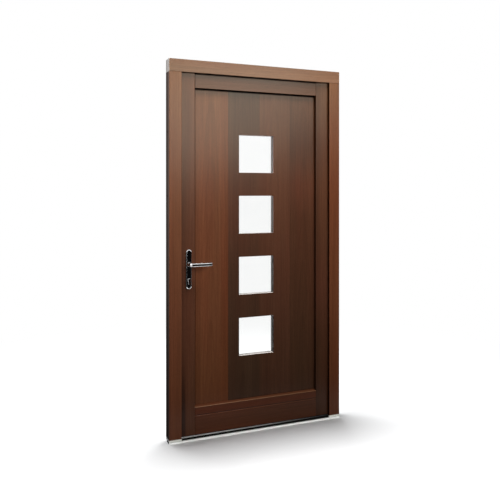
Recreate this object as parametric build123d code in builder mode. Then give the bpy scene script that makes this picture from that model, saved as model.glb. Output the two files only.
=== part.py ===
from build123d import *
import os

# A timber entrance doorset: a rebated frame on a flat threshold, a framed leaf with a
# recessed sandwich panel and a column of square windows, barrel hinges and lever handles.
# Millimetres. X runs to the right seen from outside, Y from outside to inside, Z up.
# The origin is the middle of the threshold's underside.

# Frame
frame_width = 1060.0
frame_height = 2100.0
frame_depth = 68.0
jamb_face = 70.0
front_lip = 12.0
rebate_step = 22.0
arris_radius = 2.0
anchor_groove_width = 20.0
anchor_groove_depth = 8.0
anchor_groove_margin = 6.0
fixing_radius = 5.0
fixing_setback = 28.0
fixing_spacing = 350.0
fixing_end_distance = 575.0

# Weather seal round the front lip
seal_width = 5.0
seal_depth = 4.0
seal_stand = 1.0
seal_margin = 2.5

# Threshold and the feet of the jambs
threshold_height = 10.0
nose_depth = 5.0
nose_radius = 2.0
inner_rail_depth = 22.0
foot_height = 10.0
tread_groove_width = 3.0
tread_groove_depth = 1.5
tread_groove_count = 4

# Leaf
leaf_setback = 18.0
rebate_gap = 12.0
overlap_width = 18.0
overlap_thickness = 13.0
overlap_gap = 5.0
stile_face = 81.0
leaf_bottom = 25.0
bottom_rail_top = 176.0
rail_slope_rise = 5.0
rail_groove_height = 130.0
rail_groove_width = 3.0
rail_groove_depth = 2.0
drip_clearance = 5.0
drip_bar_depth = 24.0
drip_bar_wall = 3.0
bottom_seal_width = 8.0

# Panel and windows
panel_setback = 20.0
panel_rear_setback = 8.0
panel_groove_depth = 15.0
panel_edge_gap = 3.0
skin_thickness = 8.0
window_size = 217.0
window_pitch = 351.0
window_count = 4
window_cover = 13.0
pane_thickness = 4.0
pocket_gap = 1.0

# Hinges
knuckle_radius = 10.0
knuckle_length = 60.0
knuckle_gap = 0.5
pin_radius = 5.0
pin_length = 50.0
pin_clearance = 0.05
hinge_clearance = 5.0
hinge_arm = 4.0
hinge_plate_width = 34.0
hinge_plate_margin = 3.0
frame_plate_thickness = 3.0
frame_plate_width = 30.0
hinge_foot_width = 12.0
hinge_end_distance = 250.0

# Lock and handles
backset = 55.0
spindle_height = 972.0
cylinder_drop = 85.0
plate_width = 30.0
plate_length = 218.0
plate_thickness = 9.0
plate_bevel_width = 4.0
plate_bevel_depth = 2.5
plate_drop = 27.0
cylinder_radius = 8.5
cylinder_tail = 10.0
cylinder_height = 33.0
cylinder_projection = 5.0
cylinder_bevel = 1.5
cylinder_clearance = 0.3
keyway_width = 3.0
keyway_height = 9.0
keyway_depth = 12.0
neck_radius = 10.0
neck_clearance = 0.05
collar_radius = 13.0
collar_length = 6.0
collar_taper = 38.0
collar_gap = 0.3
lever_standoff = 44.0
lever_elbow_cut = 4.0
lever_straight = 86.0
lever_return_radius = 60.0
lever_return_angle = 35.0
lever_height = 19.0
lever_thickness = 11.0
lever_rounding = 5.0
lever_easing = 2.0
spindle_side = 8.0
spindle_seat = 18.0
spindle_clearance = 0.1
spindle_hole_radius = 12.0
faceplate_width = 20.0
faceplate_length = 235.0
faceplate_thickness = 3.0
faceplate_drop = 30.0
bolt_width = 12.0
latch_height = 34.0
deadbolt_height = 40.0
bolt_gap = 0.6
bolt_gap_depth = 1.5
strike_pocket = 14.0

# Planes of the frame, from outside to inside
half_width = frame_width / 2
front = -frame_depth / 2
back = frame_depth / 2
rebate_front = front + front_lip
inner_arris = half_width - jamb_face
rebate_wall = inner_arris + rebate_step
head_bottom = frame_height - jamb_face
head_rebate = head_bottom + rebate_step
jamb_bottom = threshold_height + foot_height

# Planes of the leaf
leaf_front = front + leaf_setback
overlap_front = back + overlap_gap
leaf_back = overlap_front + overlap_thickness
leaf_middle = (leaf_front + leaf_back) / 2
leaf_edge = rebate_wall - rebate_gap
leaf_top = head_rebate - rebate_gap
overlap_edge = leaf_edge + overlap_width
overlap_top = leaf_top + overlap_width
panel_side = inner_arris - stile_face
panel_top = head_bottom - stile_face
panel_bottom = bottom_rail_top + rail_slope_rise
drip_bottom = threshold_height + drip_clearance

# Layers of the panel
panel_front = leaf_front + panel_setback
panel_back = leaf_back - panel_rear_setback
core_front = panel_front + skin_thickness
core_back = panel_back - skin_thickness
panel_reach = panel_groove_depth - panel_edge_gap
panel_width = 2 * (panel_side + panel_reach)
panel_height = panel_top - panel_bottom + 2 * panel_reach
panel_middle = (panel_top + panel_bottom) / 2
unit_size = window_size + 2 * window_cover
pocket_size = unit_size + 2 * pocket_gap

# Axes of the hinges and the handle
hinge_x = overlap_edge + hinge_clearance + knuckle_radius
hinge_y = leaf_back + hinge_arm / 2
handle_x = backset - leaf_edge
plate_front = leaf_front - plate_thickness
cylinder_z = spindle_height - cylinder_drop
plate_z = spindle_height - plate_drop
faceplate_z = spindle_height - faceplate_drop
lock_y = (leaf_front + overlap_front) / 2

os.makedirs("parts", exist_ok=True)


def keep(piece, name):
    piece.part.label = name
    export_step(piece.part, f"parts/{name}.step")


def window_heights():
    lowest = panel_middle - window_pitch * (window_count - 1) / 2
    return [lowest + window_pitch * number for number in range(window_count)]


def facing_inside(y):
    # Plane across the doorway at depth y, whose normal points inside
    return Plane(origin=(0, y, 0), x_dir=(-1, 0, 0), z_dir=(0, 1, 0))


# Jamb: a rebated post with a front lip, a seal groove and an anchor groove
def make_jamb(side):
    seal_inner = inner_arris + seal_margin
    seal_outer = seal_inner + seal_width
    groove_back = back - anchor_groove_margin
    groove_front = groove_back - anchor_groove_width
    groove_floor = half_width - anchor_groove_depth
    outline = [
        (half_width, front),
        (inner_arris, front),
        (inner_arris, rebate_front),
        (seal_inner, rebate_front),
        (seal_inner, rebate_front - seal_depth),
        (seal_outer, rebate_front - seal_depth),
        (seal_outer, rebate_front),
        (rebate_wall, rebate_front),
        (rebate_wall, back),
        (half_width, back),
        (half_width, groove_back),
        (groove_floor, groove_back),
        (groove_floor, groove_front),
        (half_width, groove_front),
    ]
    with BuildPart() as jamb:
        with BuildSketch(Plane.XY.offset(jamb_bottom)) as section:
            with BuildLine():
                Polyline([(side * x, y) for x, y in outline], close=True)
            make_face()
            fillet(section.vertices().group_by(Axis.Y)[0], arris_radius)
        extrude(amount=head_bottom - jamb_bottom)
        for height in (fixing_end_distance, frame_height - fixing_end_distance):
            with BuildSketch(Plane.YZ.offset(side * rebate_wall)):
                with Locations((front + fixing_setback, height)):
                    with GridLocations(0, fixing_spacing, 1, 2):
                        Circle(fixing_radius)
            extrude(amount=side * jamb_face, mode=Mode.SUBTRACT)
        if side < 0:
            with BuildSketch(Plane.YZ.offset(-rebate_wall)):
                with Locations((lock_y, faceplate_z)):
                    Rectangle(faceplate_width, faceplate_length)
            extrude(amount=-faceplate_thickness, mode=Mode.SUBTRACT)
            with BuildSketch(Plane.YZ.offset(-rebate_wall - faceplate_thickness)):
                with Locations((lock_y, spindle_height)):
                    Rectangle(bolt_width, latch_height)
                with Locations((lock_y, cylinder_z)):
                    Rectangle(bolt_width, deadbolt_height)
            extrude(amount=-strike_pocket, mode=Mode.SUBTRACT)
    return jamb


left_jamb = make_jamb(-1)
right_jamb = make_jamb(1)
keep(left_jamb, "left_jamb")
keep(right_jamb, "right_jamb")

# Head: runs over both jambs, rebated between the jambs' rebate walls
with BuildPart() as head:
    with BuildSketch(Plane.YZ.offset(-half_width)) as head_section:
        with Locations((0, (head_bottom + frame_height) / 2)):
            Rectangle(frame_depth, jamb_face)
        fillet(head_section.vertices().group_by(Axis.Y)[0], arris_radius)
    extrude(amount=frame_width)
    with BuildSketch(Plane.YZ.offset(-rebate_wall)):
        with BuildLine():
            Polyline(
                (rebate_front, head_bottom),
                (back, head_bottom),
                (back, head_rebate),
                (rebate_front, head_rebate),
                close=True,
            )
        make_face()
    extrude(amount=2 * rebate_wall, mode=Mode.SUBTRACT)
    with BuildSketch(Plane.YZ.offset(-inner_arris - seal_margin)):
        with Locations((rebate_front, head_bottom + seal_margin)):
            Rectangle(2 * seal_depth, seal_width, align=(Align.CENTER, Align.MIN))
    extrude(amount=2 * (inner_arris + seal_margin), mode=Mode.SUBTRACT)
keep(head, "head")

# Weather seal: one strip up each jamb and one along the head
seal_length = seal_depth + seal_stand
with BuildPart() as frame_seal:
    with BuildSketch(Plane.XY.offset(jamb_bottom)):
        with Locations((inner_arris + seal_margin, 0), (-inner_arris - seal_margin - seal_width, 0)):
            with Locations((0, rebate_front - seal_depth)):
                Rectangle(seal_width, seal_length, align=(Align.MIN, Align.MIN))
    extrude(amount=head_bottom - jamb_bottom)
    with BuildSketch(Plane.YZ.offset(-inner_arris - seal_margin)):
        with Locations((rebate_front - seal_depth, head_bottom + seal_margin)):
            Rectangle(seal_length, seal_width, align=(Align.MIN, Align.MIN))
    extrude(amount=2 * (inner_arris + seal_margin))
keep(frame_seal, "frame_seal")

# Strike plate, let in flush with the left rebate wall
with BuildPart() as strike_plate:
    with BuildSketch(Plane.YZ.offset(-rebate_wall)):
        with Locations((lock_y, faceplate_z)):
            Rectangle(faceplate_width, faceplate_length)
        with Locations((lock_y, spindle_height)):
            Rectangle(bolt_width, latch_height, mode=Mode.SUBTRACT)
        with Locations((lock_y, cylinder_z)):
            Rectangle(bolt_width, deadbolt_height, mode=Mode.SUBTRACT)
    extrude(amount=-faceplate_thickness)
keep(strike_plate, "strike_plate")

# Threshold: a bright nose, a dark insulating core with tread grooves and an inner rail
core_start = front + nose_depth
core_end = back - inner_rail_depth

with BuildPart() as threshold_nose:
    with BuildSketch(Plane.YZ.offset(-half_width)) as nose_section:
        with Locations((front, 0)):
            Rectangle(nose_depth, threshold_height, align=(Align.MIN, Align.MIN))
        fillet(nose_section.vertices().group_by(Axis.X)[0].sort_by(Axis.Y)[-1], nose_radius)
    extrude(amount=frame_width)
keep(threshold_nose, "threshold_nose")

with BuildPart() as threshold_core:
    with BuildSketch(Plane.YZ.offset(-half_width)):
        with Locations((core_start, 0)):
            Rectangle(core_end - core_start, threshold_height, align=(Align.MIN, Align.MIN))
        tread_pitch = (core_end - core_start) / (tread_groove_count + 1)
        with Locations(((core_start + core_end) / 2, threshold_height)):
            with GridLocations(tread_pitch, 0, tread_groove_count, 1):
                Rectangle(tread_groove_width, 2 * tread_groove_depth, mode=Mode.SUBTRACT)
    extrude(amount=frame_width)
keep(threshold_core, "threshold_core")

with BuildPart() as threshold_inner_rail:
    with BuildSketch(Plane.YZ.offset(-half_width)) as rail_section:
        with Locations((core_end, 0)):
            Rectangle(inner_rail_depth, threshold_height, align=(Align.MIN, Align.MIN))
        fillet(rail_section.vertices().group_by(Axis.X)[-1].sort_by(Axis.Y)[-1], nose_radius)
    extrude(amount=frame_width)
keep(threshold_inner_rail, "threshold_inner_rail")


# Foot: the block that carries a jamb on the threshold, with the jamb's own plan
def make_foot(side):
    with BuildPart() as foot:
        with BuildSketch(Plane.XY.offset(threshold_height)):
            with BuildLine():
                Polyline(
                    (side * half_width, front),
                    (side * inner_arris, front),
                    (side * inner_arris, rebate_front),
                    (side * rebate_wall, rebate_front),
                    (side * rebate_wall, back),
                    (side * half_width, back),
                    close=True,
                )
            make_face()
        extrude(amount=foot_height)
    return foot


left_foot = make_foot(-1)
right_foot = make_foot(1)
keep(left_foot, "left_foot")
keep(right_foot, "right_foot")


# Outline of the lock cylinder, a round barrel over a narrow tail
def cylinder_outline(clearance):
    tail_length = cylinder_height - cylinder_radius
    with BuildSketch() as outline:
        Circle(cylinder_radius + clearance)
        with Locations((0, -tail_length + cylinder_tail / 2)):
            Circle(cylinder_tail / 2 + clearance)
        with Locations((0, -(tail_length - cylinder_tail / 2) / 2)):
            Rectangle(cylinder_tail + 2 * clearance, tail_length - cylinder_tail / 2)
    return outline.sketch


# Stile: a rebated post with an overlap lip at the back and a groove for the panel
def make_stile(side):
    groove_floor = panel_side + panel_groove_depth
    outline = [
        (panel_side, leaf_front),
        (leaf_edge, leaf_front),
        (leaf_edge, overlap_front),
        (overlap_edge, overlap_front),
        (overlap_edge, leaf_back),
        (panel_side, leaf_back),
        (panel_side, panel_back),
        (groove_floor, panel_back),
        (groove_floor, panel_front),
        (panel_side, panel_front),
    ]
    with BuildPart() as stile:
        with BuildSketch(Plane.XY.offset(leaf_bottom)) as section:
            with BuildLine():
                Polyline([(side * x, y) for x, y in outline], close=True)
            make_face()
            fillet(section.vertices().group_by(Axis.Y)[0], arris_radius)
            fillet(section.vertices().group_by(Axis.Y)[-1], arris_radius)
        extrude(amount=leaf_top - leaf_bottom)
        with BuildSketch(Plane.XY.offset(leaf_top)) as lip_section:
            with BuildLine():
                Polyline(
                    (side * panel_side, overlap_front),
                    (side * overlap_edge, overlap_front),
                    (side * overlap_edge, leaf_back),
                    (side * panel_side, leaf_back),
                    close=True,
                )
            make_face()
            fillet(lip_section.vertices().group_by(Axis.Y)[-1], arris_radius)
        extrude(amount=overlap_width)
        if side < 0:
            with BuildSketch(facing_inside(leaf_front)):
                with Locations((-handle_x, spindle_height)):
                    Circle(spindle_hole_radius)
                with Locations((-handle_x, cylinder_z)):
                    add(cylinder_outline(cylinder_clearance))
            extrude(amount=leaf_back - leaf_front, mode=Mode.SUBTRACT)
            with BuildSketch(Plane.YZ.offset(-leaf_edge)):
                with Locations((lock_y, faceplate_z)):
                    Rectangle(faceplate_width, faceplate_length)
            extrude(amount=faceplate_thickness, mode=Mode.SUBTRACT)
    return stile


left_stile = make_stile(-1)
right_stile = make_stile(1)
keep(left_stile, "left_stile")
keep(right_stile, "right_stile")

# Top rail: between the stiles, grooved below and lipped above
with BuildPart() as top_rail:
    with BuildSketch(Plane.YZ.offset(-panel_side)) as top_section:
        with BuildLine():
            Polyline(
                (leaf_front, panel_top),
                (leaf_front, leaf_top),
                (overlap_front, leaf_top),
                (overlap_front, overlap_top),
                (leaf_back, overlap_top),
                (leaf_back, panel_top),
                (panel_back, panel_top),
                (panel_back, panel_top + panel_groove_depth),
                (panel_front, panel_top + panel_groove_depth),
                (panel_front, panel_top),
                close=True,
            )
        make_face()
        fillet(top_section.vertices().group_by(Axis.X)[0], arris_radius)
        fillet(top_section.vertices().group_by(Axis.X)[-1], arris_radius)
    extrude(amount=2 * panel_side)
keep(top_rail, "top_rail")

# Bottom rail: its top sheds water to the front, and a fine groove runs across its face
with BuildPart() as bottom_rail:
    with BuildSketch(Plane.YZ.offset(-panel_side)) as bottom_section:
        with BuildLine():
            Polyline(
                (leaf_front, leaf_bottom),
                (leaf_front, rail_groove_height - rail_groove_width / 2),
                (leaf_front + rail_groove_depth, rail_groove_height),
                (leaf_front, rail_groove_height + rail_groove_width / 2),
                (leaf_front, bottom_rail_top),
                (panel_front, panel_bottom),
                (panel_front, panel_bottom - panel_groove_depth),
                (panel_back, panel_bottom - panel_groove_depth),
                (panel_back, panel_bottom),
                (leaf_back, panel_bottom),
                (leaf_back, leaf_bottom),
                close=True,
            )
        make_face()
        fillet(bottom_section.vertices().group_by(Axis.X)[0].sort_by(Axis.Y)[-1], arris_radius)
        fillet(bottom_section.vertices().group_by(Axis.X)[-1], arris_radius)
    extrude(amount=2 * panel_side)
keep(bottom_rail, "bottom_rail")

# Drip bar: an angle under the leaf's front edge, with a seal strip behind it
with BuildPart() as drip_bar:
    with BuildSketch(Plane.YZ.offset(-leaf_edge)):
        with BuildLine():
            Polyline(
                (leaf_front, drip_bottom),
                (leaf_front, leaf_bottom),
                (leaf_front + drip_bar_depth, leaf_bottom),
                (leaf_front + drip_bar_depth, leaf_bottom - drip_bar_wall),
                (leaf_front + drip_bar_wall, leaf_bottom - drip_bar_wall),
                (leaf_front + drip_bar_wall, drip_bottom),
                close=True,
            )
        make_face()
    extrude(amount=2 * leaf_edge)
keep(drip_bar, "drip_bar")

with BuildPart() as bottom_seal:
    with BuildSketch(Plane.YZ.offset(-leaf_edge)):
        with Locations((leaf_front + drip_bar_depth, drip_bottom)):
            Rectangle(
                bottom_seal_width,
                leaf_bottom - drip_bar_wall - drip_bottom,
                align=(Align.MAX, Align.MIN),
            )
    extrude(amount=2 * leaf_edge)
keep(bottom_seal, "bottom_seal")


# Panel layer: a sheet across the panel with one square cut-out for each window
def make_layer(start, end, cutout):
    with BuildPart() as layer:
        with BuildSketch(facing_inside(start)):
            with Locations((0, panel_middle)):
                Rectangle(panel_width, panel_height)
            with Locations([(0, height) for height in window_heights()]):
                Rectangle(cutout, cutout, mode=Mode.SUBTRACT)
        extrude(amount=end - start)
    return layer


panel_outer_skin = make_layer(panel_front, core_front, window_size)
panel_core = make_layer(core_front, core_back, pocket_size)
panel_inner_skin = make_layer(core_back, panel_back, window_size)
keep(panel_outer_skin, "panel_outer_skin")
keep(panel_core, "panel_core")
keep(panel_inner_skin, "panel_inner_skin")

# Windows: each is an insulating unit of two panes on a hollow spacer frame
for number, height in enumerate(window_heights(), start=1):
    with BuildPart() as glass:
        for pane_start in (core_front, core_back - pane_thickness):
            with BuildSketch(facing_inside(pane_start)):
                with Locations((0, height)):
                    Rectangle(unit_size, unit_size)
            extrude(amount=pane_thickness)
    keep(glass, f"window_{number}_glass")
    with BuildPart() as spacer:
        with BuildSketch(facing_inside(core_front + pane_thickness)):
            with Locations((0, height)):
                Rectangle(unit_size, unit_size)
                Rectangle(window_size, window_size, mode=Mode.SUBTRACT)
        extrude(amount=core_back - core_front - 2 * pane_thickness)
    keep(spacer, f"window_{number}_spacer")


# Hinge half on the frame: a plate and foot that carry the lower knuckle and its pin
def make_frame_hinge(height):
    with BuildPart() as hinge:
        with BuildSketch(Plane.XY.offset(height - knuckle_length)):
            with Locations((hinge_x, hinge_y)):
                Circle(knuckle_radius)
        extrude(amount=knuckle_length)
        with BuildSketch(Plane.XY.offset(height - knuckle_length + hinge_plate_margin)):
            with Locations((hinge_x, back)):
                Rectangle(hinge_foot_width, hinge_y - back, align=(Align.CENTER, Align.MIN))
            with Locations((hinge_x - hinge_foot_width / 2, back)):
                Rectangle(frame_plate_width, frame_plate_thickness, align=(Align.MIN, Align.MIN))
        extrude(amount=knuckle_length - hinge_plate_margin)
        with BuildSketch(Plane.XY.offset(height)):
            with Locations((hinge_x, hinge_y)):
                Circle(pin_radius)
        extrude(amount=pin_length)
    return hinge


# Hinge half on the leaf: a plate on the leaf's back and the upper knuckle over the pin
def make_leaf_hinge(height):
    with BuildPart() as hinge:
        with BuildSketch(Plane.XY.offset(height + knuckle_gap)):
            with Locations((hinge_x, hinge_y)):
                Circle(knuckle_radius)
        extrude(amount=knuckle_length)
        with BuildSketch(Plane.XY.offset(height + knuckle_gap)):
            with Locations((hinge_x, hinge_y)):
                reach = hinge_x - overlap_edge + hinge_plate_width
                Rectangle(reach, hinge_arm, align=(Align.MAX, Align.CENTER))
        extrude(amount=knuckle_length - hinge_plate_margin)
        with BuildSketch(Plane.XY.offset(height)):
            with Locations((hinge_x, hinge_y)):
                Circle(pin_radius + pin_clearance)
        extrude(amount=pin_length + 2 * knuckle_gap, mode=Mode.SUBTRACT)
    return hinge


hinge_heights = (hinge_end_distance, frame_height / 2, frame_height - hinge_end_distance)
for place, height in zip(("lower", "middle", "upper"), hinge_heights):
    keep(make_frame_hinge(height), f"{place}_frame_hinge")
    keep(make_leaf_hinge(height), f"{place}_leaf_hinge")

# Lock faceplate in the leaf's edge, with the ends of the withdrawn latch and deadbolt
with BuildPart() as lock_faceplate:
    with BuildSketch(Plane.YZ.offset(-leaf_edge)):
        with Locations((lock_y, faceplate_z)):
            Rectangle(faceplate_width, faceplate_length)
    extrude(amount=faceplate_thickness)
    with BuildSketch(Plane.YZ.offset(-leaf_edge)):
        for bolt_z, bolt_height in ((spindle_height, latch_height), (cylinder_z, deadbolt_height)):
            with Locations((lock_y, bolt_z)):
                Rectangle(bolt_width, bolt_height)
                Rectangle(bolt_width - 2 * bolt_gap, bolt_height - 2 * bolt_gap, mode=Mode.SUBTRACT)
    extrude(amount=bolt_gap_depth, mode=Mode.SUBTRACT)
keep(lock_faceplate, "lock_faceplate")

# Lock cylinder through the leaf, with a keyway at both ends
cylinder_start = plate_front - cylinder_projection
cylinder_end = leaf_back + plate_thickness + cylinder_projection
with BuildPart() as lock_cylinder:
    with BuildSketch(facing_inside(cylinder_start)):
        with Locations((-handle_x, cylinder_z)):
            add(cylinder_outline(0))
    extrude(amount=cylinder_end - cylinder_start)
    barrel_ends = lock_cylinder.faces().sort_by(Axis.Y)
    chamfer(barrel_ends[0].edges() + barrel_ends[-1].edges(), cylinder_bevel)
    for end, inward in ((cylinder_start, 1), (cylinder_end, -1)):
        with BuildSketch(facing_inside(end)):
            with Locations((-handle_x, cylinder_z)):
                Rectangle(keyway_width, keyway_height)
        extrude(amount=inward * keyway_depth, mode=Mode.SUBTRACT)
keep(lock_cylinder, "lock_cylinder")

# Middle plane of the leaf, over which the handles mirror
middle = Plane(origin=(0, leaf_middle, 0), z_dir=(0, 1, 0))

# Back plates: long round-ended plates with a bevelled rim
with BuildPart() as outer_backplate:
    with BuildSketch(Plane.XZ.offset(-leaf_front)):
        with Locations((handle_x, plate_z)):
            SlotOverall(plate_length, plate_width, rotation=90)
    extrude(amount=plate_thickness)
    plate_face = outer_backplate.faces().sort_by(Axis.Y)[0]
    chamfer(plate_face.edges(), plate_bevel_width, plate_bevel_depth, reference=plate_face)
    with BuildSketch(facing_inside(plate_front)):
        with Locations((-handle_x, spindle_height)):
            Circle(neck_radius + neck_clearance)
        with Locations((-handle_x, cylinder_z)):
            add(cylinder_outline(cylinder_clearance))
    extrude(amount=plate_thickness, mode=Mode.SUBTRACT)
keep(outer_backplate, "outer_backplate")

with BuildPart() as inner_backplate:
    mirror(outer_backplate.part, about=middle)
keep(inner_backplate, "inner_backplate")

# Levers: a round neck, a tapered collar, and a bar with a mitred elbow and a returned tip
collar_start = plate_front - collar_gap
bar_y = plate_front - lever_standoff
bar_end = Plane((handle_x, collar_start, spindle_height), x_dir=(1, 0, 0), z_dir=(0, -1, 0))
with BuildPart() as outer_lever:
    with BuildLine(Plane.XY.offset(spindle_height)) as bar_path:
        stem = Line((handle_x, collar_start), (handle_x, bar_y + lever_elbow_cut))
        elbow = Line(stem @ 1, (handle_x + lever_elbow_cut, bar_y))
        straight = Line(elbow @ 1, (handle_x + lever_straight, bar_y))
        JernArc(straight @ 1, straight % 1, lever_return_radius, lever_return_angle)
    with BuildSketch(bar_end) as section:
        Rectangle(lever_thickness, lever_height)
        fillet(section.vertices().group_by(Axis.X)[0], lever_rounding)
        chamfer(section.vertices().group_by(Axis.X)[-1], lever_easing)
    sweep(path=bar_path.wires()[0], transition=Transition.RIGHT)
    tip = outer_lever.faces().sort_by(Axis.X)[-1]
    chamfer(tip.edges(), lever_easing)
    with BuildSketch(Plane.XZ.offset(-leaf_front)):
        with Locations((handle_x, spindle_height)):
            Circle(neck_radius)
    extrude(amount=leaf_front - collar_start)
    with BuildSketch(Plane.XZ.offset(-collar_start)):
        with Locations((handle_x, spindle_height)):
            Circle(collar_radius)
    extrude(amount=collar_length, taper=collar_taper)
    with BuildSketch(Plane.XZ.offset(-leaf_front)):
        with Locations((handle_x, spindle_height)):
            Rectangle(spindle_side + 2 * spindle_clearance, spindle_side + 2 * spindle_clearance)
    extrude(amount=spindle_seat, mode=Mode.SUBTRACT)
keep(outer_lever, "outer_lever")

with BuildPart() as inner_lever:
    mirror(outer_lever.part, about=middle)
keep(inner_lever, "inner_lever")

# Spindle: the square bar that joins the levers through the leaf
with BuildPart() as spindle:
    with BuildSketch(facing_inside(leaf_front - spindle_seat)):
        with Locations((-handle_x, spindle_height)):
            Rectangle(spindle_side, spindle_side)
    extrude(amount=leaf_back - leaf_front + 2 * spindle_seat)
keep(spindle, "spindle")
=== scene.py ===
import math

import bpy
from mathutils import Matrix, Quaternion, Vector


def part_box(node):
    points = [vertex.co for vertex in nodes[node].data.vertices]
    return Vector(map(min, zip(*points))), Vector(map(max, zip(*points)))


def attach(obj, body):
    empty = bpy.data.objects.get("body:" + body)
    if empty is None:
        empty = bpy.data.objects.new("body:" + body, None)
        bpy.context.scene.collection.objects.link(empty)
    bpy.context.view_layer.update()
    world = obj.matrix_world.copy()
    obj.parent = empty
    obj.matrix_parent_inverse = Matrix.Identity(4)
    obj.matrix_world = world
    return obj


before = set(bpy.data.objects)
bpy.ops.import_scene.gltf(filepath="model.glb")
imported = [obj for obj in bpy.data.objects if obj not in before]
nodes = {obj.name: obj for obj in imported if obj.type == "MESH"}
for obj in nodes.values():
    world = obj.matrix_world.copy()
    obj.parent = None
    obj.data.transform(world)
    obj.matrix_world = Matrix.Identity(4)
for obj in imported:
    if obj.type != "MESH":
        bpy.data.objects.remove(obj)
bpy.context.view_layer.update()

scene = bpy.context.scene
scene.view_settings.view_transform = "Standard"

HINGES = ("lower", "middle", "upper")
WINDOWS = range(1, 5)
WHITE = (1.0, 1.0, 1.0)

# Camera: level, turned to the right, with the view shifted down
CAMERA_PLACE = (-1.3534, -3.2347, 1.3807)
CAMERA_TURN = -22.06
CAMERA_LENS = 43.46
CAMERA_SENSOR = 36.0
CAMERA_SHIFT = -0.1192

# Edges that the tones and the painted shade and light follow, from the frame
FRAME_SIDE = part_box("head")[1].x
FRAME_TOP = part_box("head")[1].z
HEAD_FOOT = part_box("head")[0].z
LEFT_JAMB_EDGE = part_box("left_jamb")[1].x
RIGHT_JAMB_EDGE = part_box("right_jamb")[0].x
PANEL_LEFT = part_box("top_rail")[0].x
PANEL_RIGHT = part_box("top_rail")[1].x
PANEL_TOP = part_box("top_rail")[0].z
RAIL_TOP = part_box("bottom_rail")[1].z
RAIL_GROOVE = 0.130
DRIP_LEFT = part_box("drip_bar")[0].x
DRIP_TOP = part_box("drip_bar")[1].z
NOSE_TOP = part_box("threshold_nose")[1].z
SURFACE_MARGIN = 0.0003

# Windows: the panel covers the edge of each pane
PANE_COVER = 0.013
PANES = [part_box(f"window_{number}_glass") for number in WINDOWS]
WINDOW_HALF = PANES[0][1].x - PANE_COVER
WINDOW_HEIGHTS = [(low.z + high.z) / 2 for low, high in PANES]

# Wood tones, linear: the ramp from deep to pale wood, and two slow casts over it
WOOD_DEEP = (0.055, 0.0158, 0.0063)
WOOD_MID = (0.098, 0.0305, 0.0127)
WOOD_PALE = (0.150, 0.0500, 0.0220)
WOOD_STOPS = ((0.18, WOOD_DEEP), (0.50, WOOD_MID), (0.82, WOOD_PALE))
OLIVE_CAST = (0.98, 1.02, 1.03)
RED_CAST = (1.02, 0.98, 0.985)
CAST_SPAN = (0.36, 0.64)

# Scales of the grain's noises: across the board, into it and along it
WANDER_SCALE = (9.0, 9.0, 1.1)
BAND_SCALE = (16.0, 16.0, 0.5)
CAST_SCALE = (11.0, 11.0, 0.9)
STREAK_SCALE = (130.0, 130.0, 2.6)
FIBRE_SCALE = (900.0, 900.0, 16.0)
PORE_SCALE = (1900.0, 1900.0, 45.0)

# Shares of the rings and the noises in the wood's tone
RING_SHARE = 0.20
BAND_SHARE = 0.40
STREAK_SHARE = 0.55
FIBRE_SHARE = 0.22
TONE_DROP = 0.18
PORE_SPAN = (0.60, 0.70)
PORE_SHARE = 0.45
PORE_TONE = 0.5

# Growth rings: the cut climbs away from the heart along the board
RINGS_PER_METRE = 95.0
RING_CLIMB = 0.034
RING_START = 0.030
RING_STOPS = ((0.0, 0.62), (0.55, 0.50), (0.90, 0.28), (1.0, 0.62))
RING_WANDER = 0.05
STREAK_WANDER = 0.012

# Satin lacquer on open grain
LACQUER = 0.30
LACQUER_ROUGH = 0.30
LACQUER_IOR = 1.5
WOOD_ROUGH = 0.40
STREAK_ROUGH = 0.22
FIBRE_RELIEF = 0.6
GRAIN_RELIEF = 0.00012

# Tone over the height: cooler at the middle, with painted shade that darkens the wood towards the foot
HEIGHT_TONE_AND_SHADE = (
    (0.08, (0.80, 0.84, 0.92)),
    (0.17, (0.92, 1.02, 1.15)),
    (0.34, (1.02, 1.12, 1.35)),
    (0.50, (1.00, 1.07, 1.25)),
    (0.68, (0.97, 0.93, 0.88)),
    (0.90, (1.00, 1.10, 1.04)),
)
# Heights over which the painted shade of a foot tone fades out
PAINTED_FOOT_SPAN = (0.1, 1.6)
# Heights over which painted shade in a band at the foot fades out
FOOT_SHADE_SPAN = (0.16, 0.50)

# Sawn outer sides of the jambs and sealed ends of the head; fades give start, end and both tones
SIDE_START = FRAME_SIDE - SURFACE_MARGIN
SPECK_TONE = 0.8
RAW_WOOD = (0.29, 0.212, 0.182)
RAW_SPECKS = (700.0, 700.0, 60.0)
# Painted shade: the sawn sides darker towards the foot
RAW_FADE = (0.1, 1.5, 0.32, 0.90)
# Painted shade: the sawn sides darker towards the back, lighter at the front
RAW_DEPTH = (-0.034, 0.034, 1.5, 0.5)
# Sealed end grain: partly its own pale colour, partly painted reflection
SEALED_END = (0.92, 0.86, 0.82)
SEALED_SPECKS = (700.0, 700.0, 700.0)
# The sealed ends darker towards the back
SEALED_DEPTH = (0.012, 0.034, 1.05, 0.5)

# Veneer strips on the panel; each patch gives strip, height, reach and gain; the patches are painted
# shade and painted light that follow where the lacquer's sheen ends
STRIP_START = PANEL_LEFT + 0.008
STRIP_WIDTH = 0.195
STRIP_TONES = ((1.03, 0.99, 0.91), (0.56, 0.63, 0.71), (0.665, 0.67, 0.735), (0.55, 0.55, 0.56))
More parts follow.
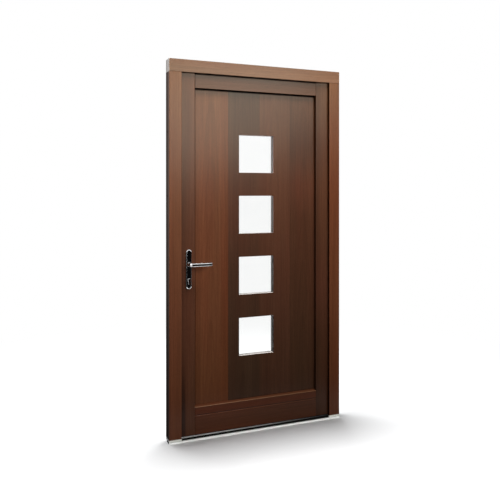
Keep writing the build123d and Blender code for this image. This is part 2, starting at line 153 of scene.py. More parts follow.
# Painted shade at the foot of the strips
STRIP_FOOT = (0.65, 0.78, 0.83)
STRIP_PATCHES = (
    (1, 1.88, 0.42, (0.80, 0.80, 0.82)),
    (1, 1.25, 0.35, (1.14, 1.03, 1.04)),
    (3, 1.68, 0.22, (0.82, 0.75, 0.72)),
    (3, 1.40, 0.20, (1.20, 1.10, 1.12)),
)
STRIP_HEART = 0.46
STRIP_STRIDE = 3.7
HALF_STEP = 0.5
STRIP_BLEND = 0.012
SEAM_WIDTH = 0.0004
SEAM_SHARE = 0.6
SEAM_TONE = 0.4
HEARTWOOD = (0.93, 0.84, 0.80)
HEARTWOOD_SPAN = (0.74, 0.82)

# Window openings: sides with painted shade that deepens downward, and painted light on the sills that
# face up
REVEAL_TONE = (0.40, 0.242, 0.218)
REVEAL_PAINTED_SHADE = (0.6, 1.55, 0.14, 1.16)
SILL_PAINTED_LIGHT = (0.80, 0.74, 0.71)
SILL_FACING = (0.5, 0.9)

# Middle of a noise, and the values between which a mottled colour goes from one tone to the other
NOISE_MIDDLE = 0.5
MOTTLE_SPAN = (0.3, 0.7)


class Graph:
    """The node tree of a material or of the world, built by short calls."""

    def __init__(self, owner, output):
        owner.use_nodes = True
        self.owner = owner
        self.tree = owner.node_tree
        self.tree.nodes.clear()
        self.out = self.tree.nodes.new(output)

    def feed(self, socket, value):
        if isinstance(value, bpy.types.NodeSocket):
            self.tree.links.new(value, socket)
        elif isinstance(value, (tuple, list)) and socket.type == "RGBA" and len(value) == 3:
            socket.default_value = (*value, 1.0)
        else:
            socket.default_value = value

    def node(self, kind, settings=None, **inputs):
        made = self.tree.nodes.new(kind)
        for key, value in (settings or {}).items():
            setattr(made, key, value)
        for key, value in inputs.items():
            self.feed(made.inputs[key.replace("_", " ")], value)
        return made

    def show(self, shader):
        self.tree.links.new(shader.outputs[0], self.out.inputs["Surface"])

    def principled(self, **inputs):
        self.show(self.node("ShaderNodeBsdfPrincipled", **inputs))

    def either(self, factor, first, second):
        made = self.node("ShaderNodeMixShader", Fac=factor)
        self.feed(made.inputs[1], first.outputs[0])
        self.feed(made.inputs[2], second.outputs[0])
        return made

    def seen(self):
        """1 for what the eye, a mirror or a pane shows, 0 for light that bounces."""
        paths = self.node("ShaderNodeLightPath").outputs
        direct = self.math("MAXIMUM", paths["Is Camera Ray"], paths["Is Glossy Ray"])
        return self.math("MAXIMUM", direct, paths["Is Transmission Ray"])

    def place(self):
        return self.node("ShaderNodeTexCoord").outputs["Object"]

    def facing(self):
        return self.split(self.node("ShaderNodeTexCoord").outputs["Normal"])

    def split(self, vector):
        return self.node("ShaderNodeSeparateXYZ", Vector=vector).outputs

    def join(self, x, y, z):
        return self.node("ShaderNodeCombineXYZ", X=x, Y=y, Z=z).outputs[0]

    def math(self, operation, a, b=None):
        made = self.node("ShaderNodeMath", {"operation": operation})
        self.feed(made.inputs[0], a)
        if b is not None:
            self.feed(made.inputs[1], b)
        return made.outputs[0]

    def linear(self, value, slope, start):
        return self.math("ADD", self.math("MULTIPLY", value, slope), start)

    def sum(self, *terms):
        """Sum of values, each given with its share."""
        total = None
        for value, share in terms:
            part = self.math("MULTIPLY", value, share)
            total = part if total is None else self.math("ADD", total, part)
        return total

    def distance(self, value, centre):
        return self.math("ABSOLUTE", self.math("SUBTRACT", value, centre))

    def radius(self, a, b):
        squares = self.math("ADD", self.math("POWER", a, 2.0), self.math("POWER", b, 2.0))
        return self.math("SQRT", squares)

    def noise(self, vector, scale, detail, roughness=0.55):
        scaled = self.node("ShaderNodeVectorMath", {"operation": "MULTIPLY"})
        self.feed(scaled.inputs[0], vector)
        self.feed(scaled.inputs[1], scale)
        made = self.node(
            "ShaderNodeTexNoise", Vector=scaled.outputs[0], Scale=1.0, Detail=detail, Roughness=roughness
        )
        return made.outputs["Fac"]

    def span(self, value, low, high, to_low=0.0, to_high=1.0):
        made = self.node(
            "ShaderNodeMapRange",
            {"interpolation_type": "SMOOTHSTEP"},
            Value=value,
            From_Min=low,
            From_Max=high,
            To_Min=to_low,
            To_Max=to_high,
        )
        return made.outputs[0]

    def ramp(self, factor, stops, interpolation="LINEAR"):
        made = self.node("ShaderNodeValToRGB", Fac=factor)
        band = made.color_ramp
        band.interpolation = interpolation
        while len(band.elements) < len(stops):
            band.elements.new(1.0)
        for element, (position, colour) in zip(band.elements, stops):
            element.position = position
            element.color = (*colour, 1.0)
        return made.outputs["Color"]

    def mottle(self, noise, first, second):
        low, high = MOTTLE_SPAN
        return self.ramp(noise, ((low, first), (high, second)))

    def mix(self, factor, a, b, blend="MIX"):
        made = self.node("ShaderNodeMix", {"data_type": "RGBA", "blend_type": blend})
        self.feed(made.inputs[0], factor)
        self.feed(made.inputs[6], a)
        self.feed(made.inputs[7], b)
        return made.outputs[2]

    def times(self, colour, factor):
        return self.mix(1.0, colour, factor, "MULTIPLY")

    def bump(self, height, distance):
        return self.node("ShaderNodeBump", Height=height, Distance=distance).outputs["Normal"]


def material_graph(name):
    return Graph(bpy.data.materials.new(name), "ShaderNodeOutputMaterial")


def tinted(colour, tone):
    return tuple(channel * tone for channel in colour)


def blended(colour, tone):
    return tuple(channel * factor for channel, factor in zip(colour, tone))


def fade(axis, edge, span, tones):
    """A change from one tone to another over a span that is measured from an edge."""
    start, end = span
    return axis, edge + start, edge + end, *tones


def glint(axis, centre, reach, gain):
    """A band of painted light, or of painted shade where the gain is below one, at a place on an axis,
    which fades out within its reach.
    """
    return axis, centre, reach, gain


def growth_rings(g, heart, length, wander):
    """Rings cut flat: arches near the heart of a board, lines at its sides."""
    off_heart = g.math("ADD", heart, g.math("MULTIPLY", wander, RING_WANDER))
    radius = g.radius(off_heart, g.linear(length, RING_CLIMB, RING_START))
    ring = g.math("FRACT", g.math("MULTIPLY", radius, RINGS_PER_METRE))
    return g.ramp(ring, [(stop, (tone,) * 3) for stop, tone in RING_STOPS], "EASE")


def grain(g, tone, across, depth, length, heart):
    """Colour of the wood, with the streaks, fibres and pores that its gloss and relief follow."""
    place = g.join(across, depth, length)
    wander = g.math("SUBTRACT", g.noise(place, WANDER_SCALE, detail=2.0), NOISE_MIDDLE)
    bent_across = g.math("ADD", across, g.math("MULTIPLY", wander, STREAK_WANDER))
    bent = g.join(bent_across, depth, length)

    rings = growth_rings(g, heart, length, wander)
    band = g.noise(place, BAND_SCALE, detail=2.0)
    streak = g.noise(bent, STREAK_SCALE, detail=5.0, roughness=0.72)
    fibre = g.noise(bent, FIBRE_SCALE, detail=3.0, roughness=0.6)
    pores = g.span(g.noise(bent, PORE_SCALE, detail=1.0), *PORE_SPAN)

    value = g.sum((rings, RING_SHARE), (band, BAND_SHARE), (streak, STREAK_SHARE), (fibre, FIBRE_SHARE))
    value = g.math("SUBTRACT", value, TONE_DROP)
    colour = g.ramp(value, [(stop, blended(stained, tone)) for stop, stained in WOOD_STOPS])
    pore_colour = tinted(blended(WOOD_DEEP, tone), PORE_TONE)
    colour = g.mix(g.math("MULTIPLY", pores, PORE_SHARE), colour, pore_colour)
    drift = g.span(g.noise(place, CAST_SCALE, detail=1.0), *CAST_SPAN)
    return g.times(colour, g.mix(drift, OLIVE_CAST, RED_CAST)), streak, fibre, pores


def strip_place(g, x):
    """Steps from the first veneer strip, number of the strip and share of the way across it."""
    step = g.math("DIVIDE", g.math("SUBTRACT", x, STRIP_START), STRIP_WIDTH)
    index = g.math("MAXIMUM", g.math("FLOOR", step), 0.0)
    return step, index, g.math("SUBTRACT", step, index)


def strip_stops():
    """Stops of the veneer strips' tones; the first strip turns to heartwood at its right."""
    count = len(STRIP_TONES)
    stops = []
    for number, tone in enumerate(STRIP_TONES):
        stops.append(((number + STRIP_BLEND) / count, tone))
        if number == 0:
            start, end = HEARTWOOD_SPAN
            stops.append((start / count, tone))
            tone = blended(tone, HEARTWOOD)
            stops.append((end / count, tone))
        stops.append(((number + 1 - STRIP_BLEND) / count, tone))
    return stops


def strip_colour(g, colour, z, step, index, inside):
    """Tones of the veneer strips, the seams between them and patches of other tones."""
    colour = g.times(colour, g.ramp(g.math("DIVIDE", step, len(STRIP_TONES)), strip_stops()))
    to_seam = g.math("MINIMUM", inside, g.math("SUBTRACT", 1.0, inside))
    seam = g.span(to_seam, 0.0, SEAM_WIDTH / STRIP_WIDTH, SEAM_SHARE, 0.0)
    colour = g.mix(seam, colour, tinted(WOOD_DEEP, SEAM_TONE))
    for number, height, reach, gain in STRIP_PATCHES:
        on_strip = g.math("LESS_THAN", g.distance(index, number), HALF_STEP)
        patch = g.math("MULTIPLY", on_strip, g.span(g.distance(z, height), 0.0, reach, 1.0, 0.0))
        colour = g.times(colour, g.mix(patch, WHITE, gain))
    return colour


def with_sills(g, tone, z):
    """A tone in a window opening, with painted shade that deepens further down and painted light where
    it faces up.
    """
    sill = g.span(g.facing()[2], *SILL_FACING)
    return g.mix(sill, g.times(tone, g.span(z, *REVEAL_PAINTED_SHADE)), SILL_PAINTED_LIGHT)


def reveal_colour(g, colour, x, z):
    """Sides and sills of the window openings, with their painted shade and light."""
    limit = WINDOW_HALF + SURFACE_MARGIN
    in_column = g.math("LESS_THAN", g.math("ABSOLUTE", x), limit)
    edge_tone = with_sills(g, REVEAL_TONE, z)
    for height in WINDOW_HEIGHTS:
        in_window = g.math("LESS_THAN", g.distance(z, height), limit)
        colour = g.mix(g.math("MULTIPLY", in_column, in_window), colour, edge_tone)
    return colour


def on_side(g, x):
    return g.math("GREATER_THAN", g.math("ABSOLUTE", x), SIDE_START)


def plain_side(g, y, tone, specks, depth):
    """Speckled wood without stain, with a tone that changes from front to back, which on the jambs'
    sides is painted shade.
    """
    speck = g.noise(g.place(), specks, detail=3.0)
    return g.times(g.mottle(speck, tinted(tone, SPECK_TONE), tone), g.span(y, *depth))


def marked(g, colour, axes, shades, foot_shades, lines, glints):
    """The colour with its painted shades, painted shadow lines and painted bands of light and shade, and
    the lacquer, which is dull in the shadow lines as painted shade.
    """
    for axis, *ends in shades:
        colour = g.times(colour, g.span(axes[axis], *ends))
    for axis, *ends in foot_shades:
        shade = g.span(axes[axis], *ends)
        colour = g.times(colour, g.mix(g.span(axes["z"], *FOOT_SHADE_SPAN), shade, WHITE))
    lacquer = LACQUER
    for axis, *ends in lines:
        dark = g.span(axes[axis], *ends)
        colour = g.times(colour, dark)
        lacquer = g.math("MULTIPLY", dark, lacquer)
    for axis, centre, reach, gain in glints:
        away = g.distance(axes[axis], centre)
        colour = g.times(colour, g.mix(g.span(away, 0.0, reach), gain, WHITE))
    return colour, lacquer


def wood(
    name,
    along,
    tone,
    seed,
    foot=None,
    shades=(),
    foot_shades=(),
    lines=(),
    glints=(),
    height_tone_and_shade=False,
    strips=False,
    sealed_ends=False,
    raw_sides=False,
    reveals=False,
):
    """Stained and lacquered wood with its grain along x or z."""
    g = material_graph(name)
    x, y, z = g.split(g.place())
    across, length = (z, x) if along == "x" else (x, z)
    heart = g.math("ADD", across, seed)
    if strips:
        step, index, inside = strip_place(g, x)
        heart = g.math("MULTIPLY", g.math("SUBTRACT", inside, STRIP_HEART), STRIP_WIDTH)
        across = g.math("ADD", across, g.math("MULTIPLY", index, STRIP_STRIDE))
    across = g.math("ADD", across, seed)
    colour, streak, fibre, pores = grain(g, tone, across, y, length, heart)

    if strips:
        colour = strip_colour(g, colour, z, step, index, inside)
    # Tone over the height, with painted shade towards the foot
    if height_tone_and_shade:
        colour = g.times(colour, g.ramp(g.math("DIVIDE", z, FRAME_TOP), HEIGHT_TONE_AND_SHADE))
    # Painted shade at the foot, which the first veneer strip is left without
    if foot:
        upper = g.span(z, *PAINTED_FOOT_SPAN)
        if strips:
            first_strip = g.math("LESS_THAN", index, HALF_STEP)
            upper = g.math("MAXIMUM", upper, first_strip)
        colour = g.times(colour, g.mix(upper, foot, WHITE))
    colour, lacquer = marked(g, colour, {"x": x, "z": z}, shades, foot_shades, lines, glints)
    if reveals:
        colour = reveal_colour(g, colour, x, z)
    if sealed_ends:
        sealed = plain_side(g, y, SEALED_END, SEALED_SPECKS, SEALED_DEPTH)
        colour = g.mix(on_side(g, x), colour, sealed)
    if raw_sides:
        raw = on_side(g, x)
        sawn = plain_side(g, y, RAW_WOOD, RAW_SPECKS, RAW_DEPTH)
        colour = g.mix(raw, colour, g.times(sawn, g.span(z, *RAW_FADE)))
        lacquer = g.math("MULTIPLY", g.math("SUBTRACT", 1.0, raw), lacquer)

    relief = g.math("SUBTRACT", g.math("MULTIPLY", fibre, FIBRE_RELIEF), pores)
    g.principled(
        Base_Color=colour,
        Roughness=g.linear(streak, STREAK_ROUGH, WOOD_ROUGH),
        Normal=g.bump(relief, GRAIN_RELIEF),
        Specular_IOR_Level=0.0,
        Coat_Weight=lacquer,
        Coat_Roughness=LACQUER_ROUGH,
        Coat_IOR=LACQUER_IOR,
    )
    return g.owner


def metal(name, colour, rough, brushed, variation, shades=()):
    """Metal that is brushed along x or z, with painted shades where they are given."""
    brush_scale = {"x": (6.0, 900.0, 900.0), "z": (900.0, 900.0, 6.0)}[brushed]
    cloud_scale = (14.0, 14.0, 14.0)
    brush_share, cloud_share = 0.6, 0.4
    g = material_graph(name)
    place = g.place()
    fine = g.noise(place, brush_scale, detail=3.0)
    broad = g.noise(place, cloud_scale, detail=3.0)
    shade = g.sum((fine, brush_share), (broad, cloud_share))
    tone = g.mottle(shade, tinted(colour, 1.0 - variation), tinted(colour, 1.0 + variation))
    x, _, z = g.split(place)
    axes = {"x": x, "z": z}
    for axis, *ends in shades:
        tone = g.times(tone, g.span(axes[axis], *ends))
    g.principled(
        Base_Color=tone,
        Roughness=g.linear(shade, slope=0.5 * rough, start=0.75 * rough),
        Normal=g.bump(fine, distance=0.00002),
        Metallic=1.0,
    )
    return g.owner


def plastic(name, colour, rough, level=0.5):
    grain_scale = (900.0, 900.0, 900.0)
    cloud_scale = (9.0, 9.0, 9.0)
    grain_share, cloud_share = 0.5, 0.5
    dark, light = 0.82, 1.12
    g = material_graph(name)
    place = g.place()
    fine = g.noise(place, grain_scale, detail=3.0)
    broad = g.noise(place, cloud_scale, detail=3.0)
    shade = g.sum((fine, grain_share), (broad, cloud_share))
    g.principled(
        Base_Color=g.mottle(shade, tinted(colour, dark), tinted(colour, light)),
        Roughness=g.linear(fine, slope=0.25, start=rough),
        Normal=g.bump(fine, distance=0.00005),
        Specular_IOR_Level=level,
    )
    return g.owner


def rimmed_chrome(name):
    """Chrome at the rim and the sides, black and polished on the flat face."""
    face_span = (0.93, 0.98)
    haze_scale = (60.0, 60.0, 35.0)
    polish_scale = (1400.0, 1400.0, 90.0)
    haze_rough, polish_rough = 0.10, 0.06
    black_tones = ((0.006, 0.006, 0.007), (0.012, 0.012, 0.013))
    bright_tones = ((0.62, 0.62, 0.63), (0.70, 0.70, 0.71))
    g = material_graph(name)
    place = g.place()
    face = g.span(g.math("ABSOLUTE", g.facing()[1]), *face_span)
    haze = g.noise(place, haze_scale, detail=4.0)
    fine = g.noise(place, polish_scale, detail=2.0)
    g.principled(
        Base_Color=g.mix(face, g.mottle(haze, *bright_tones), g.mottle(haze, *black_tones)),
        Roughness=g.sum((haze, haze_rough), (fine, polish_rough)),
        Metallic=g.math("SUBTRACT", 1.0, face),
        Normal=g.bump(fine, distance=0.000004),
        Specular_IOR_Level=0.5,
    )
    return g.owner


def clear_glass(name):
    smear_scale = (22.0, 22.0, 30.0)
    smear_span = (0.45, 0.75)
    clean_rough, smear_rough = 0.0, 0.02
    tints = ((0.975, 0.980, 0.978), (0.985, 0.988, 0.986))
    g = material_graph(name)
    smear = g.noise(g.place(), smear_scale, detail=4.0)
    g.principled(
        Base_Color=g.mottle(smear, *tints),
        Roughness=g.span(smear, *smear_span, clean_rough, smear_rough),
        Transmission_Weight=1.0,
        IOR=1.45,
    )
    return g.owner


def foam(name):
    cells_per_metre = 700.0
    cell_stops = ((0.0, (0.80, 0.76, 0.60)), (0.7, (0.60, 0.56, 0.42)))
    g = material_graph(name)
    cells = g.node("ShaderNodeTexVoronoi", Vector=g.place(), Scale=cells_per_metre).outputs["Distance"]
    g.principled(
        Base_Color=g.ramp(cells, cell_stops),
        Normal=g.bump(cells, distance=0.0003),
        Roughness=0.9,
    )
    return g.owner


def spacer_metal(name):
    """Grey spacer bars with rows of small holes, with the painted shade and light of the window
    openings.
    """
    grain_scale = (600.0, 600.0, 600.0)
    tones = ((0.26, 0.235, 0.225), (0.34, 0.31, 0.295))
    holes_per_metre = 260.0
    hole_stretch = 0.3
    hole_span = (0.10, 0.16)
    hole_share = 0.5
    hole_tone = (0.10, 0.10, 0.10)
    g = material_graph(name)
    place = g.place()
    fine = g.noise(place, grain_scale, detail=2.0)
    tone = g.mottle(fine, *tones)
    x, y, z = g.split(place)
    holes = g.node(
        "ShaderNodeTexVoronoi",
        {"feature": "F1"},
        Vector=g.join(x, g.math("MULTIPLY", y, hole_stretch), z),
        Scale=holes_per_metre,
        Randomness=0.0,
    )
    dot = g.span(holes.outputs["Distance"], *hole_span, hole_share, 0.0)
    g.principled(
        Base_Color=with_sills(g, g.mix(dot, tone, hole_tone), z),
        Roughness=g.linear(fine, slope=0.2, start=0.45),
        Normal=g.bump(fine, distance=0.00003),
        Specular_IOR_Level=0.3,
    )
    return g.owner


finishes = {
    "left_jamb": wood(
        "left_jamb_wood",
        along="z",
        tone=(1.25, 1.27, 1.24),
        seed=1.3,
        # Painted shade at the foot, and painted light at the top, below the head
        foot=(0.82, 0.78, 0.80),
        glints=[glint("z", centre=HEAD_FOOT, reach=0.45, gain=(1.02, 1.14, 1.18))],
        height_tone_and_shade=True,
        raw_sides=True,
    ),
    "right_jamb": wood(
        "right_jamb_wood",
        along="z",
        tone=(1.03, 0.90, 0.80),
        seed=2.9,
        # Painted shade at the foot, a painted shadow line at the inner edge, and painted light at the
        # top
        foot=(0.8, 0.8, 0.8),
        lines=[fade("x", edge=RIGHT_JAMB_EDGE, span=(0.0003, 0.0025), tones=(0.3, 1.0))],
        glints=[glint("z", centre=HEAD_FOOT, reach=0.28, gain=(1.06, 1.32, 1.38))],
        height_tone_and_shade=True,
        raw_sides=True,
    ),
    "head": wood(
        "head_wood",
        along="x",
        tone=(1.29, 1.80, 2.20),
        seed=4.1,
        # A painted shadow line along the underside, and painted light at the left end
        lines=[fade("z", edge=HEAD_FOOT, span=(0.0, 0.0025), tones=(0.45, 1.0))],
        glints=[glint("x", centre=-FRAME_SIDE, reach=0.40, gain=(1.06, 1.13, 1.17))],
        sealed_ends=True,
    ),
    "left_stile": wood(
        "left_stile_wood",
        along="z",
        tone=(0.87, 0.92, 1.02),
        seed=5.7,
        # Painted shade at the foot and next to the jamb, deeper in a narrow band at the foot
        foot=(0.85, 0.85, 0.87),
        shades=[fade("x", edge=LEFT_JAMB_EDGE, span=(-0.005, 0.060), tones=(0.66, 1.0))],
        foot_shades=[fade("x", edge=LEFT_JAMB_EDGE, span=(0.022, 0.031), tones=(0.45, 1.0))],
        height_tone_and_shade=True,
    ),
    "right_stile": wood(
        "right_stile_wood",
        along="z",
        tone=(0.62, 0.69, 0.72),
        seed=7.2,
        # Painted shade at the foot and next to the panel, a band of painted shade high up and a band of
        # painted light lower down
        foot=(0.67, 0.65, 0.66),
        shades=[fade("x", edge=PANEL_RIGHT, span=(-0.009, 0.061), tones=(0.82, 1.0))],
        glints=[
            glint("z", centre=1.64, reach=0.24, gain=(0.88, 0.80, 0.78)),
            glint("z", centre=0.78, reach=0.35, gain=(1.18, 1.08, 1.16)),
        ],
        height_tone_and_shade=True,
    ),
    "top_rail": wood(
        "top_rail_wood",
        along="x",
        tone=(0.62, 0.72, 0.76),
        seed=8.8,
        # Painted shade towards the right, and painted shadow lines below the head, along the underside
        # and at both ends
        shades=[fade("x", edge=PANEL_LEFT, span=(0.029, 0.729), tones=(1.03, 0.94))],
        lines=[
            fade("z", edge=HEAD_FOOT, span=(-0.012, -0.001), tones=(1.0, 0.05)),
            fade("z", edge=PANEL_TOP, span=(0.0, 0.0015), tones=(0.1, 1.0)),
            fade("x", edge=PANEL_LEFT, span=(0.0, 0.006), tones=(0.40, 1.0)),
            fade("x", edge=PANEL_RIGHT, span=(-0.004, 0.0), tones=(1.0, 0.65)),
        ],
    ),
    "bottom_rail": wood(
        "bottom_rail_wood",
        along="x",
        tone=(0.53, 0.51, 0.50),
        seed=9.4,
        # Painted shade towards the right and a painted shadow line at the left end; a painted highlight
        # on the front arris, a redder band above the groove, and painted shade and a painted highlight
        # on the groove's upper and lower edges
        shades=[fade("x", edge=PANEL_LEFT, span=(0.079, 0.729), tones=(1.0, 0.76))],
        lines=[fade("x", edge=PANEL_LEFT, span=(0.0, 0.005), tones=(0.55, 1.0))],
        glints=[
            glint("z", centre=RAIL_TOP - 0.0055, reach=0.0026, gain=(2.3, 3.5, 4.1)),
            glint("z", centre=RAIL_GROOVE + 0.022, reach=0.030, gain=(1.35, 1.10, 1.05)),
            glint("z", centre=RAIL_GROOVE + 0.0028, reach=0.0028, gain=(0.35, 0.35, 0.35)),
            glint("z", centre=RAIL_GROOVE - 0.0028, reach=0.0028, gain=(1.9, 2.0, 2.1)),
        ],
    ),
    "panel_outer_skin": wood(
        "outer_veneer",
        along="z",
        tone=WHITE,
        seed=11.0,
        # Painted shade at the foot of the strips, and painted shadow lines below the top rail and beside
        # the left stile
        foot=STRIP_FOOT,
        lines=[
            fade("z", edge=PANEL_TOP, span=(-0.013, -0.003), tones=(1.0, 0.05)),
            fade("x", edge=PANEL_LEFT, span=(0.0, 0.015), tones=(0.25, 1.0)),
        ],
        height_tone_and_shade=True,
        strips=True,
        reveals=True,
    ),
    "panel_inner_skin": wood(
        "inner_veneer",
        along="z",
        tone=WHITE,
        seed=13.0,
        # Painted shade at the foot of the strips
        foot=STRIP_FOOT,
        height_tone_and_shade=True,
        strips=True,
        reveals=True,
    ),
}
bright_aluminium = metal(
    "bright_aluminium", colour=(0.74, 0.74, 0.75), rough=0.55, brushed="x", variation=0.05
)
nose_aluminium = metal(
    "nose_aluminium",
    colour=(0.88, 0.88, 0.89),
    rough=0.55,
    brushed="x",
    variation=0.05,
    # Painted shade along the top edge, under the drip bar
    shades=[fade("z", edge=NOSE_TOP, span=(-0.0022, -0.0006), tones=(1.0, 0.06))],
)
drip_aluminium = metal(
    "drip_aluminium",
    colour=(0.85, 0.85, 0.86),
    rough=0.30,
    brushed="x",
    variation=0.10,
    # Painted reflection, bright at the left and fading to the right, and painted shade along the top,
    # under the wood
    shades=[
        fade("x", edge=DRIP_LEFT, span=(0.17, 0.92), tones=(1.0, 0.08)),
        fade("z", edge=DRIP_TOP, span=(-0.0042, -0.0026), tones=(1.0, 0.03)),
    ],
)
steel = metal("satin_steel", colour=(0.55, 0.55, 0.55), rough=0.30, brushed="z", variation=0.10)
chrome = metal("lever_chrome", colour=(0.70, 0.70, 0.71), rough=0.07, brushed="x", variation=0.04)
rimmed = rimmed_chrome("plate_chrome")
rubber = plastic("seal_rubber", colour=(0.012, 0.012, 0.012), rough=0.60, level=0.2)
dark_plastic = plastic("threshold_plastic", colour=(0.006, 0.006, 0.006), rough=0.75, level=0.0)
pale_plastic = plastic("foot_plastic", colour=(0.74, 0.74, 0.73), rough=0.45)
glass = clear_glass("window_glass")
spacer = spacer_metal("spacer_metal")
finishes.update(
    {
        "threshold_nose": nose_aluminium,
        "threshold_inner_rail": bright_aluminium,
        "threshold_core": dark_plastic,
        "left_foot": pale_plastic,
        "right_foot": pale_plastic,
        "drip_bar": drip_aluminium,
        "frame_seal": rubber,
        "bottom_seal": rubber,
        "panel_core": foam("core_foam"),
        "strike_plate": steel,
        "lock_faceplate": steel,
        "lock_cylinder": rimmed,
        "spindle": steel,
        "outer_backplate": rimmed,
        "inner_backplate": rimmed,
        "outer_lever": chrome,
        "inner_lever": chrome,
    }
)
for level in HINGES:
    finishes[f"{level}_frame_hinge"] = steel
    finishes[f"{level}_leaf_hinge"] = steel
for number in WINDOWS:
    finishes[f"window_{number}_glass"] = glass
    finishes[f"window_{number}_spacer"] = spacer
for name, node in nodes.items():
    node.data.materials.clear()
    node.data.materials.append(finishes[name])


# Screw heads on the hinge plates and the lock's plates
SCREW_RADIUS = 0.0038
SCREW_RISE = 0.0007
SCREW_SINK = 0.0001
RECESS_HALF = 0.00055
RECESS_REACH = 0.0024
RECESS_DEPTH = 0.0005
SCREW_RINGS = 10
SCREW_SECTORS = 40

# Thicknesses of the hinge plates, and the screws' distances from the plates' edges
LEAF_PLATE = 0.004
LEAF_SCREWS_ACROSS = (0.008, 0.025)
LEAF_SCREW_FOOT = 0.012
LEAF_SCREW_TOP = 0.015
FRAME_PLATE = 0.003
FRAME_SCREW_INSET = 0.006
FRAME_SCREW_RISES = (0.013, 0.047)
LOCK_SCREW_INSET = 0.012


def screw_heads(name, body, centres, facing):
    """Low domed heads with a cross recess, on a plate that faces along an axis."""
    normal = Vector(facing)
    up = Vector((0.0, 0.0, 1.0))
    side = up.cross(normal)
    points, faces = [], []
    for centre in centres:
        first = len(points)
        for ring in range(SCREW_RINGS):
            reach = SCREW_RADIUS * (ring + 0.5) / (SCREW_RINGS - 0.5)
            for sector in range(SCREW_SECTORS):
                angle = 2 * math.pi * sector / SCREW_SECTORS
                u, v = reach * math.cos(angle), reach * math.sin(angle)
                lift = (SCREW_RISE + SCREW_SINK) * (1 - (reach / SCREW_RADIUS) ** 2) - SCREW_SINK
                narrow, long = sorted((abs(u), abs(v)))
                if narrow < RECESS_HALF and long < RECESS_REACH:
                    lift -= RECESS_DEPTH
                points.append(Vector(centre) + side * u + up * v + normal * lift)
        faces.append(list(range(first, first + SCREW_SECTORS)))
        for ring in range(SCREW_RINGS - 1):
            inner = first + ring * SCREW_SECTORS
            outer = inner + SCREW_SECTORS
            for sector in range(SCREW_SECTORS):
                after = (sector + 1) % SCREW_SECTORS
                faces.append([inner + sector, outer + sector, outer + after, inner + after])
    mesh = bpy.data.meshes.new(name)
    mesh.from_pydata(points, [], faces)
    mesh.materials.append(steel)
    heads = bpy.data.objects.new(name, mesh)
    scene.collection.objects.link(heads)
    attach(heads, body)


for level in HINGES:
    low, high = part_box(f"{level}_leaf_hinge")
    heights = (low.z + LEAF_SCREW_FOOT, high.z - LEAF_SCREW_TOP)
    plate_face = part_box("left_stile")[1].y + LEAF_PLATE
    centres = [(low.x + inset, plate_face, z) for inset in LEAF_SCREWS_ACROSS for z in heights]
    screw_heads(f"{level}_leaf_hinge_screws", "leaf", centres, facing=(0, 1, 0))
    low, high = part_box(f"{level}_frame_hinge")
    plate_face = low.y + FRAME_PLATE
    centres = [(high.x - FRAME_SCREW_INSET, plate_face, low.z + rise) for rise in FRAME_SCREW_RISES]
    screw_heads(f"{level}_frame_hinge_screws", "frame", centres, facing=(0, 1, 0))

for plate, body, end, facing in (
    ("lock_faceplate", "leaf", 0, (-1, 0, 0)),
    ("strike_plate", "frame", 1, (1, 0, 0)),
):
    low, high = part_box(plate)
    depth = (low.y + high.y) / 2
    heights = (low.z + LOCK_SCREW_INSET, high.z - LOCK_SCREW_INSET)
    centres = [((low, high)[end].x, depth, z) for z in heights]
    screw_heads(f"{plate}_screws", body, centres, facing)


# Floor: white where it is open, with the object's soft shadow
HALF_FLOOR = 30.0
OPEN_FLOOR_SPAN = (1.5, 3.0)
FLOOR_COLOUR = (0.875, 0.88, 0.885)
FLOOR_BOUNCE = (0.04, 0.04, 0.04)


def floor_material(name):
    g = material_graph(name)
    x, y, _ = g.split(g.place())
    open_floor = g.span(g.radius(x, y), *OPEN_FLOOR_SPAN)
    lit = g.node("ShaderNodeBsdfDiffuse", Color=FLOOR_COLOUR)
    white = g.node("ShaderNodeEmission", Color=WHITE, Strength=1.0)
    dull = g.node("ShaderNodeBsdfDiffuse", Color=FLOOR_BOUNCE)
    g.show(g.either(g.seen(), dull, g.either(open_floor, lit, white)))
    return g.owner


floor_mesh = bpy.data.meshes.new("floor")
floor_mesh.from_pydata(
    [(x * HALF_FLOOR, y * HALF_FLOOR, 0) for x, y in ((-1, -1), (1, -1), (1, 1), (-1, 1))],
    [],
    [(0, 1, 2, 3)],
)
floor = bpy.data.objects.new("floor", floor_mesh)
scene.collection.objects.link(floor)
floor_mesh.materials.append(floor_material("pale_floor"))


# World: white to the eye and in reflections, a faint fill on the object
FILL_LIGHT = 0.06


def studio_world(name):
    g = Graph(bpy.data.worlds.new(name), "ShaderNodeOutputWorld")
    fill = g.node("ShaderNodeBackground", Color=WHITE, Strength=FILL_LIGHT)
    shown = g.node("ShaderNodeBackground", Color=WHITE, Strength=1.0)
    g.show(g.either(g.seen(), fill, shown))
    return g.owner


scene.world = studio_world("studio")


def dark_card(name):
    """Dark sheets on the floor in front, with low walls, which only reflections show."""
    left, middle, right = -6.1, 3.0, 9.0
    near, set_back, far = -0.45, -0.7, -5.0
    low, high = 0.002, 1.6
    sheets = [
        [(left, near, low), (middle, near, low), (middle, far, low), (left, far, low)],
        [(middle, set_back, low), (right, set_back, low), (right, far, low), (middle, far, low)],
        [(left, far, low), (right, far, low), (right, far, high), (left, far, high)],
        [(right, set_back, low), (right, far, low), (right, far, high), (right, set_back, high)],
    ]
    corners = [corner for sheet in sheets for corner in sheet]
    mesh = bpy.data.meshes.new(name)
    mesh.from_pydata(corners, [], [range(first, first + 4) for first in range(0, len(corners), 4)])
    g = material_graph(name)
    g.principled(Base_Color=(0.02, 0.02, 0.02), Roughness=0.9)
    mesh.materials.append(g.owner)
    card = bpy.data.objects.new(name, mesh)
    scene.collection.objects.link(card)
    card.visible_camera = False
    card.visible_diffuse = False
    card.visible_transmission = False
    card.visible_shadow = False


dark_card("dark_card")


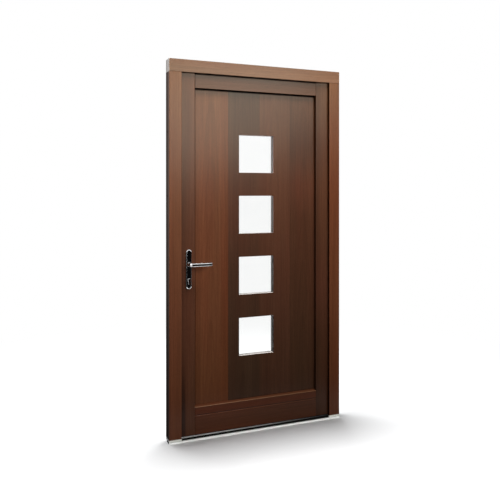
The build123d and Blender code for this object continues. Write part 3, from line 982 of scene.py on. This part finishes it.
def receivers(name, objects, state):
    """What a light falls on: these objects alone, or all but these."""
    group = bpy.data.collections.new(name)
    for thing in objects:
        group.objects.link(thing)
    for member in group.collection_objects:
        member.light_linking.link_state = state
    return group


HANDLE_NODES = ("outer_lever", "inner_lever", "outer_backplate", "inner_backplate", "lock_cylinder")
handles = [nodes[name] for name in HANDLE_NODES]
panes = [nodes[f"window_{number}_glass"] for number in WINDOWS]
handles_only = receivers("handles_only", handles, "INCLUDE")
floor_only = receivers("floor_only", [floor], "INCLUDE")
object_only = receivers("object_only", [floor], "EXCLUDE")
object_not_mirrors = receivers("object_not_mirrors", [floor, *handles, *panes], "EXCLUDE")


def softbox(name, place, target, width, height, power, lights, roll=0.0, colour=WHITE):
    lamp = bpy.data.lights.new(name, "AREA")
    lamp.shape = "RECTANGLE"
    lamp.size = width
    lamp.size_y = height
    lamp.energy = power
    lamp.color = colour
    made = bpy.data.objects.new(name, lamp)
    scene.collection.objects.link(made)
    aim = (Vector(target) - Vector(place)).to_track_quat("-Z", "Y")
    turn = Quaternion((0.0, 0.0, 1.0), math.radians(roll))
    made.rotation_euler = (aim @ turn).to_euler()
    made.location = place
    made.visible_camera = False
    made.visible_transmission = False
    made.light_linking.receiver_collection = lights


softbox(
    "front_softbox",
    place=(0.9, -3.0, 2.4),
    target=(0.9, 0.0, 2.2),
    width=2.2,
    height=1.25,
    power=98.0,
    lights=object_not_mirrors,
    roll=18.0,
    colour=(1.0, 1.0, 0.84),
)
softbox(
    "key_softbox",
    place=(0.5, -1.2, 4.3),
    target=(0.1, 0.0, 1.4),
    width=1.6,
    height=1.0,
    power=175.0,
    lights=object_not_mirrors,
)
softbox(
    "left_softbox",
    place=(-2.6, -0.2, 3.6),
    target=(-0.5, 0.0, 1.8),
    width=1.2,
    height=1.2,
    power=34.0,
    lights=object_only,
)
softbox(
    "back_softbox",
    place=(0.6, 2.6, 2.6),
    target=(0.0, 0.0, 1.2),
    width=1.8,
    height=1.6,
    power=70.0,
    lights=object_only,
)
softbox(
    "handle_bounce",
    place=(-0.3, -1.15, 0.01),
    target=(-0.3, -1.15, 1.0),
    width=3.0,
    height=1.5,
    power=14.0,
    lights=handles_only,
)
softbox(
    "top_softbox",
    place=(-0.18, 0.68, 9.0),
    target=(-0.18, 0.68, 0.0),
    width=2.4,
    height=1.85,
    power=1100.0,
    lights=floor_only,
)

camera_data = bpy.data.cameras.new("camera")
camera_data.lens = CAMERA_LENS
camera_data.sensor_width = CAMERA_SENSOR
camera_data.shift_y = CAMERA_SHIFT
camera = bpy.data.objects.new("camera", camera_data)
scene.collection.objects.link(camera)
camera.location = CAMERA_PLACE
camera.rotation_euler = (math.radians(90), 0, math.radians(CAMERA_TURN))
scene.camera = camera
